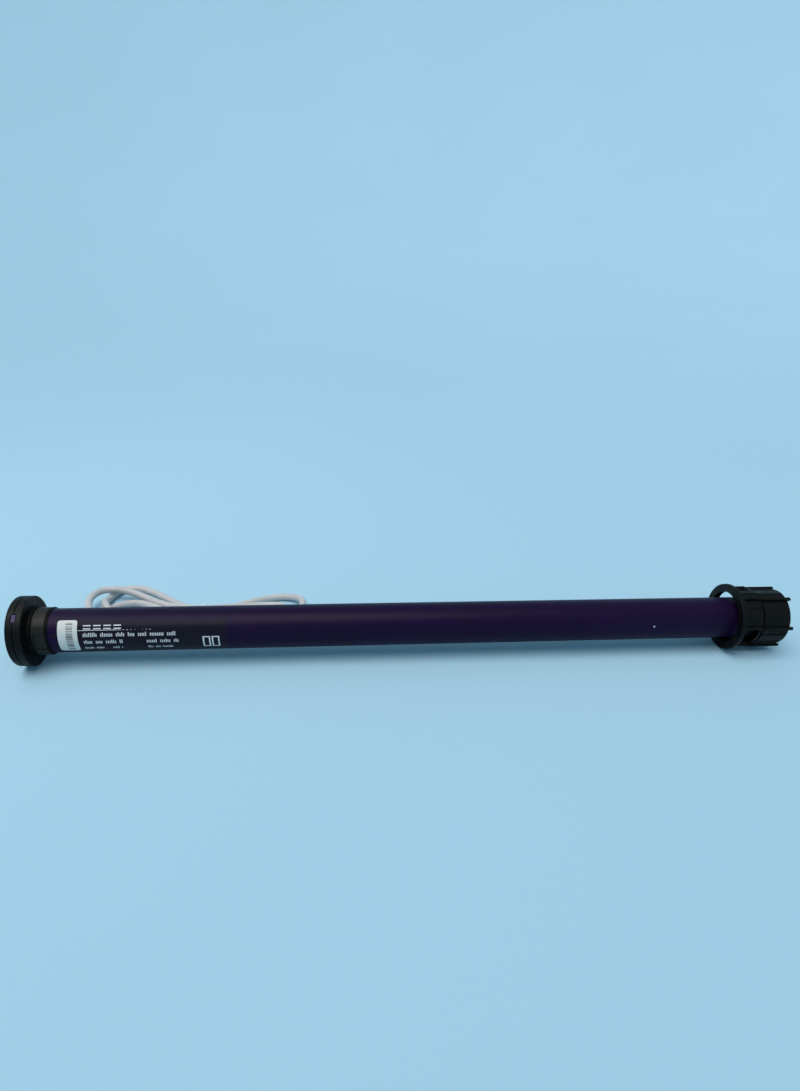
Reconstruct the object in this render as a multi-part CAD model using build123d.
from build123d import *
import os
from math import acos, cos, hypot, pi, radians, sin, tan

os.makedirs("parts", exist_ok=True)

# Lengths are millimetres. While a piece is built, x runs along the motor's axis from the head's
# outer face to the drive end, and the axis is y = z = 0. An angle round the axis is measured from
# the front (-y) towards the top (+z). export() then moves every piece into the part's frame.

# ---- Driving dimensions
LENGTH = 451.5            # head's outer face to the ends of the wheel's fins
DISC_R = 19.75            # head disc, which the motor lies on
TUBE_R = 12.5
TUBE_WALL = 1.0
TUBE_START = 19.2
TUBE_END = 427.0
RUN_FIT = 0.05            # radial play of a running fit

# head
COVER_T = 4.0
COVER_BEVEL = 1.2
COVER_POCKET_R = 6.5      # hollow behind the cover, for the cable's cores
COVER_SKIN = 1.6
COVER_SPIGOT = 2.0
GROOVE_W = 0.5
GROOVE_R = 19.2
FLANGE_END = 8.4
BOSS_R = 14.2
BOSS_END = 10.7
NECK_R = 11.6
SPIGOT_R = 11.4
SPIGOT_END = 36.0
HEAD_BORE_R = 9.2
CROWN_R = 13.7
CROWN_START = 11.0
CROWN_END = 18.0
CROWN_LIP = 0.9
CROWN_KEY_ANGLES = (1.5, 121.5, 241.5)
CROWN_KEY_SPAN = 43
CROWN_KEY_DEPTH = 0.5
THRUST_R = 13.3
THRUST_START = 18.2
THRUST_END = 18.8
COLLAR_R = 12.9
SEAL_X = (27.0, 28.4)
SEAL_R = 10.5
FIXING_X = 22.4
FIXING_R = 1.1
FIXING_ANGLES = (16.5, 136.5, 256.5)
BRACKET_PCD = 28.0
BRACKET_HOLE_R = 1.65
BRACKET_DEPTH = 7.2
BRACKET_ANGLES = (80, 170, 260, 350)
COVER_SCREW_ANGLES = (125, 305)
COVER_SCREW_R = 1.25
COVER_SCREW_HEAD = 1.3     # the countersunk head's height
COVER_SCREW_END = 7.4
BUTTON_ANGLE = 52
BUTTON_X = 4.25
BUTTON_SIZE = (2.4, 4.5)  # along the axis, round the disc
BUTTON_PLAY = 0.2
BUTTON_RADII = (16.6, 19.6)
BUTTON_POCKET_R = 14.8
GLAND_ANGLE = 200
GLAND_X = 4.2
GLAND_SIZE = (6.2, 7.8)   # along the axis, across it
GLAND_BASE_R = 11.5
GLAND_NOSE_R = 27.0       # distance of the nose's end from the axis
GLAND_GROOVES = 3
GLAND_GROOVE_PITCH = 1.7

# prints on the tube
LABEL_X = (24.5, 34.9)
LABEL_ANGLES = (-32.0, 57.0)
LABEL_T = 0.09
PANEL_X = (35.2, 115.0)
PANEL_ANGLES = (-50.5, 49.5)
PANEL_T = 0.05

# control electronics
BOARD_X = (44.0, 232.0)
BOARD_W = 18.0
BOARD_T = 1.6
BOARD_Z = -3.0            # underside of the board
TRAY_R = 11.2
TRAY_WALL = 1.2
TRAY_OVERHANG = 4.0       # the tray's length beyond each end of the board
CAPACITOR = (190.0, 25.0, 5.0)      # middle, length, radius
CHOKE_X = 158.0
CHOKE_R = 4.6
CHOKE_CORE_R = 3.4
CHIPS = [                 # middle, length, width, height
    (62, 16, 12, 2.0),
    (92, 10, 7.5, 1.6),
    (112, 7, 6, 1.4),
    (132, 9, 8, 2.2),
]
CHIP_LEG_PITCH = 1.6

# motor
CAN_R = 10.4
CAN_WALL = 0.9
CAN_START = 262.0
CAN_END = 330.0
SHAFT_R = 1.2
BUSH_R = 2.6
MOTOR_SCREW_ANGLES = (0, 180)
MOTOR_SCREW_R = 7.0       # distance of the screws from the axis
MAGNET_X = (272.0, 322.0)
MAGNET_SPAN = 136
CORE_R = 6.6
CORE_X = (276.0, 318.0)
POLES = 5
COMMUTATOR_R = 3.4

# gearbox: three equal planetary stages
MODULE = 0.4
SUN_TEETH = 12
PLANET_TEETH = 15
RING_TEETH = SUN_TEETH + 2 * PLANET_TEETH
PRESSURE = radians(25)
ADDENDUM = 0.34
DEDENDUM = 0.5
FLANK_PLAY = 0.05         # taken off each flank at the pitch circle
PLANET_PIN_R = 0.9
PLANET_ANGLES = (0, 120, 240)
PLANET_ORBIT = MODULE * (SUN_TEETH + PLANET_TEETH) / 2
HOUSING_R = 11.45
HOUSING_START = 346.0
HOUSING_END = 388.0
STAGE_START = (349.4, 359.2, 370.8)
STAGE_WIDTH = (6.0, 7.2, 10.6)
CARRIER_GAP = 0.4
CARRIER_T = 2.4
CARRIER_R = 7.4
PIN_X = 366.0
PIN_R = 0.6
PIN_ANGLES = (9, 129, 249)
PIN_DEPTH_R = 9.6
CAP_FLANGE_END = 431.0

# output and drive wheel
OUTPUT_R = 4.0
OUTPUT_FLAT = 3.1         # distance of each drive flat from the axis
FLATS_START = 432.4
SHAFT_END = 446.2
OUTPUT_BUSH_X = ((390.0, 402.0), (419.0, 430.0))
OUTPUT_BUSH_R = 6.0
WHEEL_SCREW_R = 1.5
WHEEL_START = 433.2
WHEEL_END = 449.5
WHEEL_R = 16.8
WHEEL_WALL = 1.7
WHEEL_WEB = (437.4, 440.4)
HUB_R = 6.8
FIN_START = 432.8
FIN_R = 18.7
FIN_T = 1.5
FIN_POINT = 2.4           # length of the slope at a fin's far end
FIN_ANGLES = tuple(6.5 + 60 * k for k in range(6))
RIB_R = 17.2
RIB_T = 0.8
RIB_SETBACK = 1.2         # the ribs stop this far before the wheel's end
RIB_OFFSETS = (18, 42)    # degrees from each fin to the ribs after it

# crown adapter
ADAPTER_START = 416.8
ADAPTER_FLANGE_R = 20.3   # the flange lies on the same surface as the head disc
ADAPTER_FLANGE_T = 2.8
ADAPTER_END = 432.0
ADAPTER_SKIRT_R = 17.0
ADAPTER_BORE_R = 15.7
ADAPTER_LAND_R = 14.55
LAND_X = (419.0, 420.6)
LAND_ANGLES = (62, 182, 302)
LAND_SPAN = 30
ARM_ANGLES = (52, 232)
ARM_SPAN = 90
END_RING_T = 1.4

# cable
CABLE_D = 4.6
CABLE_Z = 2.4             # the centreline's height where the cable lies on the floor
HANK_H = 9.4
HANK_WAIST = (92.0, 39.7, 9.6)      # x, y and radius of each round part of the hank's outline
HANK_LEFT = [(30.0, 52.0, 17.6), (41.0, 60.5, 21.5)]
HANK_RIGHT = [(137.0, 47.0, 18.6), (131.5, 34.6, 16.4)]
TIE_W = 3.0
TIE_T = 0.8
CORE_D = 1.5
CORE_LENGTH = 22.0
CORE_SPREAD = (-14, 0, 14)          # degrees between the cores
FERRULE_D = 1.9
FERRULE_LENGTH = 8.0

TUBE_BORE_R = TUBE_R - TUBE_WALL
AXIS_X = LENGTH / 2       # x of the frame's origin, in the building coordinates


# ---- Placing
def export(name, shape):
    export_step(Pos(-AXIS_X, 0, DISC_R) * shape, f"parts/{name}.step")


def rod(x0, x1, r):
    return Pos(x0, 0, 0) * Rot(0, 90, 0) * Cylinder(r, x1 - x0, align=(Align.CENTER, Align.CENTER, Align.MIN))


def ring(x0, x1, r_out, r_in):
    return rod(x0, x1, r_out) - rod(x0, x1, r_in)


def cone(x0, x1, r0, r1):
    return Pos(x0, 0, 0) * Rot(0, 90, 0) * Cone(r0, r1, x1 - x0, align=(Align.CENTER, Align.CENTER, Align.MIN))


def around(angle, shape):
    """Turns a shape built at the front (-y) to an angle round the axis."""
    return Rot(-angle, 0, 0) * shape


def peg(angle, x, r_from, r_to, r):
    """A radial cylinder."""
    bar = Cylinder(r, r_to - r_from, align=(Align.CENTER, Align.CENTER, Align.MIN))
    return around(angle, Pos(x, -r_from, 0) * Rot(90, 0, 0) * bar)


def block(angle, x0, x1, r_from, r_to, width):
    """A radial box."""
    middle = Pos((x0 + x1) / 2, -(r_from + r_to) / 2, 0)
    return around(angle, middle * Box(x1 - x0, r_to - r_from, width))


def axial_rod(angle, r_centre, x0, x1, r):
    """A rod along x at a distance from the axis."""
    return around(angle, Pos(0, -r_centre, 0) * rod(x0, x1, r))


def sector(x0, x1, r_out, r_in, angle_from, angle_to):
    """A stretch of a ring between two angles."""
    start, span = 180 - angle_to, angle_to - angle_from
    outer = [(r_out * cos(radians(a)), r_out * sin(radians(a))) for a in (start, start + span / 2, start + span)]
    inner = [(r_in * cos(radians(a)), r_in * sin(radians(a))) for a in (start, start + span / 2, start + span)]
    outline = Curve() + [
        ThreePointArc(*outer),
        Line(outer[2], inner[2]),
        ThreePointArc(*inner[::-1]),
        Line(inner[0], outer[0]),
    ]
    return extrude(Plane.YZ.offset(x0) * make_face(outline), amount=x1 - x0)


def prism(points, x0, x1):
    """A polygon across the axis, carried along x."""
    return extrude(Plane.YZ.offset(x0) * make_face(Polyline(*points, close=True)), amount=x1 - x0)


def group(shapes):
    return Compound(children=list(shapes))


# ---- Head
def head_cover():
    disc = rod(0, COVER_T, DISC_R)
    disc = fillet(disc.edges().filter_by(GeomType.CIRCLE).sort_by(Axis.X)[0], COVER_BEVEL)
    disc += rod(COVER_T, COVER_T + COVER_SPIGOT, HEAD_BORE_R - 0.1)
    disc -= rod(COVER_SKIN, COVER_T + COVER_SPIGOT, COVER_POCKET_R)
    for angle in BRACKET_ANGLES:
        disc -= axial_rod(angle, BRACKET_PCD / 2, 0, COVER_T, BRACKET_HOLE_R)
    for angle in COVER_SCREW_ANGLES:
        disc -= axial_rod(angle, BRACKET_PCD / 2, 0, COVER_T, COVER_SCREW_R + 0.1)
        countersink = cone(0, COVER_SCREW_HEAD, COVER_SCREW_R + COVER_SCREW_HEAD, COVER_SCREW_R)
        disc -= around(angle, Pos(0, -BRACKET_PCD / 2, 0) * countersink)
    return disc - button_pocket() - gland_pocket()


def button_pocket():
    play = 2 * BUTTON_PLAY
    half = (BUTTON_SIZE[0] + play) / 2
    width = BUTTON_SIZE[1] + play
    return block(BUTTON_ANGLE, BUTTON_X - half, BUTTON_X + half, BUTTON_POCKET_R, DISC_R + 1, width)


def gland_pocket():
    half = GLAND_SIZE[0] / 2
    return block(GLAND_ANGLE, GLAND_X - half, GLAND_X + half, HEAD_BORE_R - 1, DISC_R + 1, GLAND_SIZE[1])


def head_body():
    """The disc's inner half, a boss, the neck under the crown, a collar at the tube's end and a spigot in the tube."""
    body = rod(COVER_T + GROOVE_W, FLANGE_END, DISC_R)
    body = fillet(body.edges().filter_by(GeomType.CIRCLE).sort_by(Axis.X)[-1], 0.5)
    body += rod(COVER_T, COVER_T + GROOVE_W, GROOVE_R)
    body += rod(FLANGE_END, BOSS_END, BOSS_R) + rod(BOSS_END, THRUST_END, NECK_R)
    body += rod(THRUST_END, TUBE_START, COLLAR_R) + rod(TUBE_START, SPIGOT_END, SPIGOT_R)
    body -= rod(COVER_T, SPIGOT_END, HEAD_BORE_R) + ring(*SEAL_X, SPIGOT_R, SEAL_R)
    for angle in BRACKET_ANGLES:
        body -= axial_rod(angle, BRACKET_PCD / 2, COVER_T, BRACKET_DEPTH, BRACKET_HOLE_R)
    for angle in COVER_SCREW_ANGLES:
        body -= axial_rod(angle, BRACKET_PCD / 2, COVER_T, COVER_SCREW_END, COVER_SCREW_R)
    for angle in FIXING_ANGLES:
        body -= peg(angle, FIXING_X, HEAD_BORE_R - 0.5, SPIGOT_R + 0.5, FIXING_R)
    return body - button_pocket() - gland_pocket()


def seal_ring():
    return ring(*SEAL_X, TUBE_BORE_R - 0.02, SEAL_R)


def thrust_ring():
    washer = ring(THRUST_START, THRUST_END, THRUST_R, NECK_R)
    return fillet(washer.edges().filter_by(GeomType.CIRCLE).sort_by(SortBy.RADIUS)[-2:], 0.2)


def idler_crown():
    """A ring that turns on the neck, with wide shallow keyways that stop at a lip next to the head."""
    crown = ring(CROWN_START, CROWN_END, CROWN_R, NECK_R + RUN_FIT)
    crown = fillet(crown.edges().filter_by(GeomType.CIRCLE).sort_by(SortBy.RADIUS)[-2:], 0.2)
    for angle in CROWN_KEY_ANGLES:
        sides = (angle - CROWN_KEY_SPAN / 2, angle + CROWN_KEY_SPAN / 2)
        crown -= sector(CROWN_START + CROWN_LIP, CROWN_END + 1, CROWN_R + 1, CROWN_R - CROWN_KEY_DEPTH, *sides)
    return crown


def cover_screw(angle):
    head = cone(0.1, COVER_SCREW_HEAD, COVER_SCREW_R + 1.1, COVER_SCREW_R)
    cross = Pos(0.35, 0, 0) * (Box(0.7, 2.6, 0.5) + Box(0.7, 0.5, 2.6))
    screw = head + rod(COVER_SCREW_HEAD, COVER_SCREW_END, COVER_SCREW_R) - cross
    return around(angle, Pos(0, -BRACKET_PCD / 2, 0) * screw)


def setting_button():
    half = BUTTON_SIZE[0] / 2
    cap = block(BUTTON_ANGLE, BUTTON_X - half, BUTTON_X + half, *BUTTON_RADII, BUTTON_SIZE[1])
    return fillet(cap.faces().sort_by(lambda f: -hypot(f.center().Y, f.center().Z))[0].edges(), 0.3)


def cable_gland():
    """A block held between the disc's two halves, and a grooved nose that tapers to the cable."""
    half = GLAND_SIZE[0] / 2
    middle = Pos(GLAND_X, -(GLAND_BASE_R + DISC_R) / 2, 0)
    base = middle * Box(GLAND_SIZE[0], DISC_R - GLAND_BASE_R, GLAND_SIZE[1])
    length = GLAND_NOSE_R - DISC_R
    tip_r = CABLE_D / 2 + 0.35
    nose = Cone(half, tip_r, length, align=(Align.CENTER, Align.CENTER, Align.MIN))
    outwards = Pos(GLAND_X, -DISC_R, 0) * Rot(90, 0, 0)
    nose = outwards * nose
    for k in range(GLAND_GROOVES):
        height = GLAND_GROOVE_PITCH * (k + 0.94)
        nose_r = half + (tip_r - half) * height / length
        nose -= outwards * Pos(0, 0, height) * Torus(nose_r + 0.1, 0.3)
    return around(GLAND_ANGLE, base + nose)


# ---- Tube and what is fixed to it
def motor_tube():
    tube = ring(TUBE_START, TUBE_END, TUBE_R, TUBE_BORE_R)
    for angle in FIXING_ANGLES:
        tube -= peg(angle, FIXING_X, TUBE_BORE_R - 1, TUBE_R + 1, FIXING_R + 0.05)
    for angle in PIN_ANGLES:
        tube -= peg(angle, PIN_X, TUBE_BORE_R - 1, TUBE_R + 1, PIN_R)
    return tube


def fixing_screw(angle):
    screw = peg(angle, FIXING_X, HEAD_BORE_R + 0.2, TUBE_R - 0.1, FIXING_R)
    return screw - block(angle, FIXING_X - 0.2, FIXING_X + 0.2, TUBE_R - 0.6, TUBE_R, 2 * FIXING_R)


def wrapped_sheet(x_range, angles, thickness, corner):
    sheet = sector(*x_range, TUBE_R + thickness, TUBE_R, *angles)
    return fillet([e for e in sheet.edges() if e.length < 2 * thickness], corner)


def tube_pin(angle):
    return peg(angle, PIN_X, PIN_DEPTH_R, TUBE_R + 0.06, PIN_R)


# ---- Control electronics
def board_tray():
    """A trough under the board, closed by a round end plate at each end."""
    x0, x1 = BOARD_X[0] - TRAY_OVERHANG, BOARD_X[1] + TRAY_OVERHANG
    middle, length = (x0 + x1) / 2, x1 - x0
    lower_half = Pos(middle, 0, -7) * Box(length, 30, 9)
    tray = ring(x0, x1, TRAY_R, TRAY_R - TRAY_WALL) & lower_half
    for side in (-1, 1):
        tray += Pos(middle, side * (BOARD_W / 2 - 0.6), BOARD_Z - 1.2) * Box(length, 1.6, 2.4)
    for end in (x0, x1 - 2):
        tray += rod(end, end + 2, TRAY_R)
    return tray - Pos(middle, 0, 3.5) * Box(length, 9, 6)


def control_board():
    middle = Pos(sum(BOARD_X) / 2, 0, BOARD_Z + BOARD_T / 2)
    return middle * Box(BOARD_X[1] - BOARD_X[0] - 1, BOARD_W - 0.4, BOARD_T)


def on_board(x, y, shape):
    """Stands a shape, built from z = 0 up, on the board."""
    return Pos(x, y, BOARD_Z + BOARD_T) * shape


def lying_can(x, length, r):
    can = Rot(0, 90, 0) * Cylinder(r, length)
    return on_board(x, 0, Pos(0, 0, r) * can)


def smoothing_capacitor():
    can = lying_can(*CAPACITOR)
    return fillet(can.edges().filter_by(GeomType.CIRCLE), 0.6)


def power_choke():
    choke = Pos(0, 0, CHOKE_R - CHOKE_CORE_R) * lying_can(CHOKE_X, 12, CHOKE_CORE_R)
    for side in (-6, 6):
        choke += lying_can(CHOKE_X + side, 1.4, CHOKE_R)
    return choke


def driver_chips():
    """Two driver chips, a controller and a radio module, each with its rows of legs."""
    chips = []
    for x, length, width, height in CHIPS:
        chip = on_board(x, 0, Pos(0, 0, 0.2 + height / 2) * Box(length, width, height))
        for k in range(int(length / CHIP_LEG_PITCH)):
            leg_x = x - length / 2 + 1 + CHIP_LEG_PITCH * k
            chip += on_board(leg_x, 0, Pos(0, 0, 0.2) * Box(0.5, width + 2.4, 0.4))
        chips.append(chip)
    return group(chips)


def lead_connector():
    housing = on_board(50, 0, Pos(0, 0, 3) * Box(8, 12, 6))
    for y in (-3.6, 0, 3.6):
        housing -= on_board(48, y, Pos(0, 0, 3.4) * Box(6, 2.2, 2.8))
    return housing


# ---- Motor
def motor_can():
    can = rod(CAN_START, CAN_END, CAN_R) - rod(CAN_START, CAN_END - 1.2, CAN_R - CAN_WALL)
    can += rod(CAN_END, CAN_END + 2.2, 3.6)
    can -= rod(CAN_END - 2, CAN_END + 3, BUSH_R)
    for angle in MOTOR_SCREW_ANGLES:
        can -= axial_rod(angle, MOTOR_SCREW_R, CAN_END - 2, CAN_END + 3, 0.8)
    return can


def magnet(side):
    half = MAGNET_SPAN / 2
    return sector(*MAGNET_X, CAN_R - CAN_WALL, CORE_R + 0.5, side - half, side + half)


def motor_end_cap():
    cap = rod(CAN_START - 4, CAN_START, CAN_R) + ring(CAN_START, CAN_START + 4, CAN_R - CAN_WALL, 8.4)
    return cap - rod(CAN_START - 4, CAN_START + 4, BUSH_R)


def carbon_brush(angle):
    return block(angle, CAN_START + 1, CAN_START + 4, COMMUTATOR_R + 0.05, 7.8, 2.4)


def hall_board():
    return ring(CAN_START - 7.4, CAN_START - 6.2, 9.4, 4.6)


def motor_damper():
    """A rubber ring that carries the can's front in the tube."""
    damper = ring(CAN_END, CAN_END + 5, TUBE_BORE_R - 0.05, 8.6)
    for k in range(6):
        damper -= block(60 * k + 30, CAN_END - 1, CAN_END + 6, TUBE_BORE_R - 0.9, TUBE_R, 3.0)
    return damper


def motor_screw(angle):
    return axial_rod(angle, MOTOR_SCREW_R, HOUSING_START - 1.8, HOUSING_START, 1.35)


def rotor_shaft():
    return rod(CAN_START - 12, STAGE_START[0] + STAGE_WIDTH[0], SHAFT_R)


def rotor_core():
    """Five wound poles on the shaft: laminations with the windings between them."""
    core = ring(*CORE_X, CORE_R, SHAFT_R)
    for k in range(POLES):
        core -= block(360 / POLES * k, CORE_X[0], CORE_X[1], CORE_R - 1.2, CORE_R + 1, 1.2)
    windings = ring(CORE_X[0] - 3, CORE_X[0], CORE_R - 1.3, SHAFT_R)
    windings += ring(CORE_X[1], CORE_X[1] + 3, CORE_R - 1.3, SHAFT_R)
    return core + windings


def commutator():
    drum = ring(CAN_START + 0.6, CAN_START + 8, COMMUTATOR_R, SHAFT_R)
    for k in range(POLES):
        drum -= block(360 / POLES * (k + 0.5), CAN_START, CAN_START + 6, COMMUTATOR_R - 0.5, COMMUTATOR_R + 1, 0.3)
    return drum


def encoder_magnet():
    return ring(CAN_START - 11.5, CAN_START - 8.4, 4.0, SHAFT_R)


# ---- Gears
def involute(angle):
    return tan(angle) - angle


def gear_outline(teeth, r_inner, r_outer, arc_at_pitch):
    """A gear's outline with a tooth centred on angle 0. The flanks are involutes, drawn as short straight facets."""
    pitch_r = MODULE * teeth / 2
    base_r = pitch_r * cos(PRESSURE)
    radii = [max(r_inner, base_r + 0.001), pitch_r, r_outer]
    if r_inner < base_r:
        radii.insert(0, r_inner)
    flank = []
    for r in radii:
        slope = acos(min(1.0, base_r / r))
        flank.append((r, arc_at_pitch / (2 * pitch_r) + involute(PRESSURE) - involute(slope)))
    points = []
    for k in range(teeth):
        middle = 2 * pi * k / teeth
        for r, half in flank:
            points.append((r * cos(middle - half), r * sin(middle - half)))
        for r, half in reversed(flank):
            points.append((r * cos(middle + half), r * sin(middle + half)))
    return points


def external_gear(teeth, x0, x1):
    pitch_r = MODULE * teeth / 2
    arc = pi * MODULE / 2 - 2 * FLANK_PLAY
    return prism(gear_outline(teeth, pitch_r - DEDENDUM, pitch_r + ADDENDUM, arc), x0, x1)


def ring_gear():
    """The gearbox housing, with the teeth of all three stages cut in it."""
    pitch_r = MODULE * RING_TEETH / 2
    arc = pi * MODULE / 2 + 2 * FLANK_PLAY
    spaces = gear_outline(RING_TEETH, pitch_r - ADDENDUM, pitch_r + DEDENDUM, arc)
    housing = rod(HOUSING_START, HOUSING_END, HOUSING_R) - prism(spaces, HOUSING_START, HOUSING_END)
    for angle in PIN_ANGLES:
        housing -= peg(angle, PIN_X, PIN_DEPTH_R, HOUSING_R + 1, PIN_R)
    return housing


def planet(stage, angle):
    x0 = STAGE_START[stage]
    gear = external_gear(PLANET_TEETH, x0, x0 + STAGE_WIDTH[stage])
    gear -= rod(x0, x0 + STAGE_WIDTH[stage], PLANET_PIN_R + RUN_FIT)
    return Rot(angle, 0, 0) * Pos(0, PLANET_ORBIT, 0) * gear


def carrier_plate(stage):
    """The plate behind a stage's planets, with the pins that they turn on."""
    x0 = STAGE_START[stage] + STAGE_WIDTH[stage] + CARRIER_GAP
    plate = rod(x0, x0 + CARRIER_T, CARRIER_R)
    for angle in PLANET_ANGLES:
        pin = Pos(0, PLANET_ORBIT, 0) * rod(STAGE_START[stage] - 0.2, x0, PLANET_PIN_R)
        plate += Rot(angle, 0, 0) * pin
    return plate


def carrier(stage):
    """A carrier and, in one piece with it, the next stage's sun gear."""
    x0 = STAGE_START[stage] + STAGE_WIDTH[stage] + CARRIER_GAP + CARRIER_T
    x1 = STAGE_START[stage + 1] + STAGE_WIDTH[stage + 1]
    return carrier_plate(stage) + external_gear(SUN_TEETH, x0, x1)


def first_sun():
    x0 = STAGE_START[0]
    return external_gear(SUN_TEETH, x0, x0 + STAGE_WIDTH[0]) - rod(x0, x0 + STAGE_WIDTH[0], SHAFT_R)


def gearbox_rear_plate():
    plate = ring(HOUSING_START - 4, HOUSING_START, HOUSING_R, 3.2)
    for angle in MOTOR_SCREW_ANGLES:
        plate -= axial_rod(angle, MOTOR_SCREW_R, HOUSING_START - 1.8, HOUSING_START, 1.4)
        plate -= axial_rod(angle, MOTOR_SCREW_R, HOUSING_START - 4, HOUSING_START, 0.8)
    return plate


def gearbox_front_cap():
    cap = rod(HOUSING_END, TUBE_END, HOUSING_R) + rod(TUBE_END, CAP_FLANGE_END, TUBE_R)
    cap -= rod(HOUSING_END, CAP_FLANGE_END, OUTPUT_R + 0.4)
    for x0, x1 in OUTPUT_BUSH_X:
        cap -= rod(x0, x1, OUTPUT_BUSH_R)
    return fillet(cap.edges().filter_by(GeomType.CIRCLE).sort_by(SortBy.RADIUS)[-1], 0.5)


# ---- Output
def output_shaft():
    plate_end = STAGE_START[2] + STAGE_WIDTH[2] + CARRIER_GAP + CARRIER_T
    shaft = carrier_plate(2) + rod(plate_end, SHAFT_END, OUTPUT_R)
    flats = Pos((FLATS_START + SHAFT_END) / 2, 0, 0)
    for side in (-1, 1):
        away = Pos(0, 0, side * (OUTPUT_FLAT + 2))
        shaft -= flats * away * Box(SHAFT_END - FLATS_START, 12, 4)
    return shaft - rod(SHAFT_END - 12, SHAFT_END, WHEEL_SCREW_R)


def fin(angle, x0, x1, lead=0.0):
    """A longitudinal fin of the wheel or the adapter. lead slopes its far end off to a point."""
    inner = WHEEL_R - 0.6
    side = [(x0, inner), (x0, FIN_R), (x1 - lead * 0.35, FIN_R), (x1, FIN_R - lead * 0.45), (x1 - lead, inner)]
    if not lead:
        side = [(x0, inner), (x0, FIN_R), (x1, FIN_R), (x1, inner)]
    web = make_face(Polyline(*[(x, -r) for x, r in side], close=True))
    return around(angle, Pos(0, 0, -FIN_T / 2) * extrude(web, amount=FIN_T))


def drive_wheel():
    wheel = ring(WHEEL_START, WHEEL_END, WHEEL_R, WHEEL_R - WHEEL_WALL)
    wheel += ring(*WHEEL_WEB, WHEEL_R - WHEEL_WALL + 0.1, HUB_R - 0.1)
    wheel += rod(WHEEL_START - 0.4, SHAFT_END, HUB_R)
    for angle in FIN_ANGLES:
        wheel += block(angle, WHEEL_START + 0.6, WHEEL_END - 1.0, HUB_R - 0.3, WHEEL_R - 0.4, 1.4)
        wheel += fin(angle, FIN_START, LENGTH, FIN_POINT)
        for offset in RIB_OFFSETS:
            wheel += block(angle + offset, WHEEL_START, WHEEL_END - RIB_SETBACK, WHEEL_R - 0.5, RIB_R, RIB_T)
    hole = rod(WHEEL_START - 1, SHAFT_END, OUTPUT_R)
    hole &= Pos(AXIS_X * 2, 0, 0) * Box(60, 12, 2 * OUTPUT_FLAT)
    return wheel - hole


def wheel_washer():
    return ring(SHAFT_END, SHAFT_END + 0.8, 5.6, WHEEL_SCREW_R + 0.1)


def wheel_screw():
    x0 = SHAFT_END + 0.8
    head = rod(x0, x0 + 2.4, 3.3)
    head = fillet(head.edges().filter_by(GeomType.CIRCLE).sort_by(Axis.X)[-1], 0.8)
    cross = Pos(x0 + 2, 0, 0) * (Box(1.6, 3.6, 0.8) + Box(1.6, 0.8, 3.6))
    return head + rod(SHAFT_END - 11, x0, WHEEL_SCREW_R) - cross


# ---- Crown adapter
def crown_adapter():
    """A flange with two arms and six fins, which an end ring joins. It lies loose, higher than the tube's axis."""
    skirt_start = ADAPTER_START + ADAPTER_FLANGE_T
    adapter = rod(ADAPTER_START, skirt_start, ADAPTER_FLANGE_R)
    adapter = fillet(adapter.edges().filter_by(GeomType.CIRCLE), 0.5)
    adapter += rod(skirt_start, ADAPTER_END, ADAPTER_SKIRT_R)
    adapter -= rod(ADAPTER_START - 1, ADAPTER_END + 1, ADAPTER_BORE_R)
    for angle in ARM_ANGLES:
        window = (angle + ARM_SPAN / 2, angle + 180 - ARM_SPAN / 2)
        adapter -= sector(LAND_X[1], ADAPTER_END - END_RING_T, ADAPTER_SKIRT_R + 1, ADAPTER_BORE_R - 1, *window)
    for angle in LAND_ANGLES:
        sides = (angle - LAND_SPAN / 2, angle + LAND_SPAN / 2)
        adapter += sector(*LAND_X, ADAPTER_BORE_R + 0.2, ADAPTER_LAND_R, *sides)
    for angle in FIN_ANGLES:
        adapter += fin(angle, skirt_start - 0.2, ADAPTER_END)
        for offset in RIB_OFFSETS:
            adapter += adapter_rib(angle + offset)
    return Pos(0, 0, ADAPTER_FLANGE_R - DISC_R) * adapter


def adapter_rib(angle):
    """A small rib along an arm, or nothing where a window is."""
    from_arm = min(abs((angle - arm + 180) % 360 - 180) for arm in ARM_ANGLES)
    if from_arm > ARM_SPAN / 2:
        return []
    start = ADAPTER_START + ADAPTER_FLANGE_T - 0.2
    return block(angle, start, ADAPTER_END, ADAPTER_SKIRT_R - 0.4, ADAPTER_SKIRT_R + RIB_R - WHEEL_R, RIB_T)


# ---- Cable. Its pieces lie on the floor, z = 0, and keep the building coordinates' x and y.
def cable_route():
    """The lead's centreline from the gland's nose to the hank."""
    down = radians(GLAND_ANGLE - 180)
    nose = (GLAND_X, GLAND_NOSE_R * cos(down), DISC_R - GLAND_NOSE_R * sin(down))
    clear_r = GLAND_NOSE_R + 10.2
    clear = (GLAND_X, clear_r * cos(down), DISC_R - clear_r * sin(down))
    return [nose, clear, (7.6, 42.4, 3.9), (13.3, 47.0, 2.5)]


def tail_route():
    """The centreline from the hank to the stripped end."""
    return [(155.6, 43.0, CABLE_Z), (172.0, 37.0, CABLE_Z), (190.0, 35.4, CABLE_Z), (207.0, 36.0, CABLE_Z)]


def round_tube(name, points, diameter):
    """A tube along straight runs joined by arcs, each as large as its two runs allow."""
    corners = [Vector(*p) for p in points]
    runs = [b - a for a, b in zip(corners, corners[1:])]
    radii = []
    for a, b in zip(runs, runs[1:]):
        turn = radians(a.get_angle(b))
        radii.append(0.45 * min(a.length, b.length) / tan(turn / 2))
    path = FilletPolyline(*corners, radius=radii)
    section = Plane(origin=corners[0], z_dir=runs[0]) * Circle(diameter / 2)
    tube = sweep(section, path=path)
    volume = pi * diameter ** 2 / 4 * path.length
    print(f"{name}: length {path.length:.1f}, radii {[round(r, 1) for r in radii]},",
          f"volume {tube.volume:.1f} of {volume:.1f}")
    return tube


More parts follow.
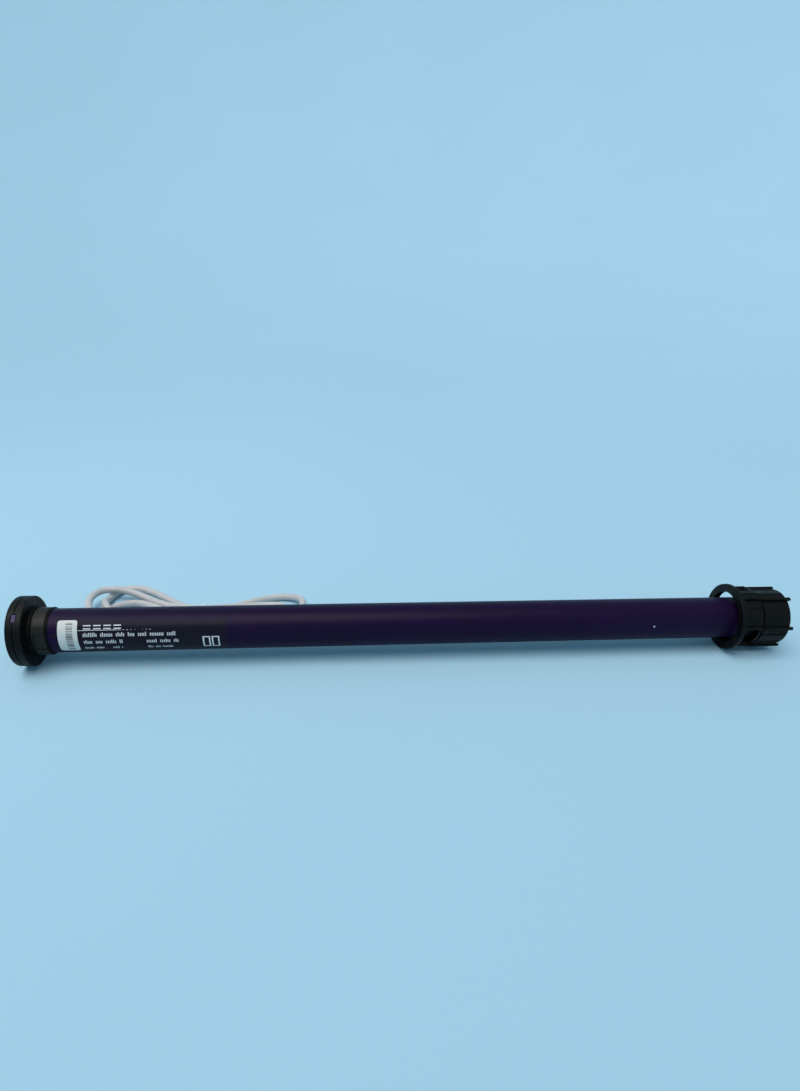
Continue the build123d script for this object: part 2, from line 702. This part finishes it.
def export_cable(name, shape):
    export_step(Pos(-AXIS_X, 0, 0) * shape, f"parts/{name}.step")


def lobe(rounds):
    """The shape that a string pulled round several circles has, as high as the hank."""
    circles = [Pos(x, y) * CenterArc((0, 0), r, 0, 360) for x, y, r in rounds]
    return extrude(make_hull(circles), amount=HANK_H)


def cable_hank():
    hank = lobe(HANK_LEFT + [HANK_WAIST]) + lobe([HANK_WAIST] + HANK_RIGHT)
    return hank - tie_room()


def tie_room():
    x, y, r = HANK_WAIST
    inside = Box(TIE_W + 0.2, 2 * (r - TIE_T), HANK_H - 2 * TIE_T)
    return Pos(x, y, HANK_H / 2) * (Box(TIE_W + 0.2, 2 * r + 3, HANK_H) - inside)


def cable_tie():
    x, y, r = HANK_WAIST
    band = Box(TIE_W, 2 * r, HANK_H) - Box(TIE_W, 2 * (r - TIE_T), HANK_H - 2 * TIE_T)
    return Pos(x, y, HANK_H / 2) * band


def core_start():
    """Where the cable's jacket ends, and the heading of its last run."""
    last, before = Vector(*tail_route()[-1]), Vector(*tail_route()[-2])
    return last, (last - before).normalized()


def along_core(turn, start, length, diameter):
    origin, heading = core_start()
    heading = heading.rotate(Axis.Z, turn)
    side = Vector(0, 0, 1).cross(heading) * (turn / 10)
    rod_plane = Plane(origin=origin + side + heading * start, z_dir=heading)
    return extrude(rod_plane * Circle(diameter / 2), amount=length)


def cable_cores():
    return group(along_core(turn, 0, CORE_LENGTH, CORE_D) for turn in CORE_SPREAD)


def core_ferrules():
    return group(along_core(turn, CORE_LENGTH, FERRULE_LENGTH, FERRULE_D) for turn in CORE_SPREAD)


# ---- Write every piece
export("head_cover", head_cover())
export("head_body", head_body())
export("head_cover_screws", group(cover_screw(a) for a in COVER_SCREW_ANGLES))
export("setting_button", setting_button())
export("cable_gland", cable_gland())
export("seal_ring", seal_ring())
export("thrust_ring", thrust_ring())
export("idler_crown", idler_crown())
export("motor_tube", motor_tube())
export("fixing_screws", group(fixing_screw(a) for a in FIXING_ANGLES))
export("serial_label", wrapped_sheet(LABEL_X, LABEL_ANGLES, LABEL_T, 1.5))
export("rating_panel", wrapped_sheet(PANEL_X, PANEL_ANGLES, PANEL_T, 0.4))
export("tube_pins", group(tube_pin(a) for a in PIN_ANGLES))
export("board_tray", board_tray())
export("control_board", control_board())
export("smoothing_capacitor", smoothing_capacitor())
export("power_choke", power_choke())
export("driver_chips", driver_chips())
export("lead_connector", lead_connector())
export("motor_can", motor_can())
export("motor_magnets", group(magnet(side) for side in (0, 180)))
export("motor_end_cap", motor_end_cap())
export("carbon_brushes", group(carbon_brush(a) for a in (90, 270)))
export("motor_bushes", group([
    ring(CAN_START - 4, CAN_START, BUSH_R, SHAFT_R + RUN_FIT),
    ring(CAN_END - 1.2, CAN_END + 2.2, BUSH_R, SHAFT_R + RUN_FIT),
]))
export("hall_board", hall_board())
export("motor_damper", motor_damper())
export("motor_screws", group(motor_screw(a) for a in MOTOR_SCREW_ANGLES))
export("rotor_shaft", rotor_shaft())
export("rotor_core", rotor_core())
export("commutator", commutator())
export("encoder_magnet", encoder_magnet())
export("sun_gear_1", first_sun())
export("ring_gear", ring_gear())
export("gearbox_rear_plate", gearbox_rear_plate())
export("gearbox_front_cap", gearbox_front_cap())
export("output_bushes", group(ring(x0, x1, OUTPUT_BUSH_R, OUTPUT_R + RUN_FIT) for x0, x1 in OUTPUT_BUSH_X))
for stage in range(3):
    for number, angle in enumerate(PLANET_ANGLES):
        export(f"planet_{stage + 1}{'abc'[number]}", planet(stage, angle))
for stage in range(2):
    export(f"carrier_{stage + 1}", carrier(stage))
export("output_shaft", output_shaft())
export("drive_wheel", drive_wheel())
export("wheel_washer", wheel_washer())
export("wheel_screw", wheel_screw())
export("crown_adapter", crown_adapter())
export_cable("cable_lead", round_tube("cable_lead", cable_route(), CABLE_D))
export_cable("cable_hank", cable_hank())
export_cable("cable_tail", round_tube("cable_tail", tail_route(), CABLE_D))
export_cable("cable_tie", cable_tie())
export_cable("cable_cores", cable_cores())
export_cable("core_ferrules", core_ferrules())
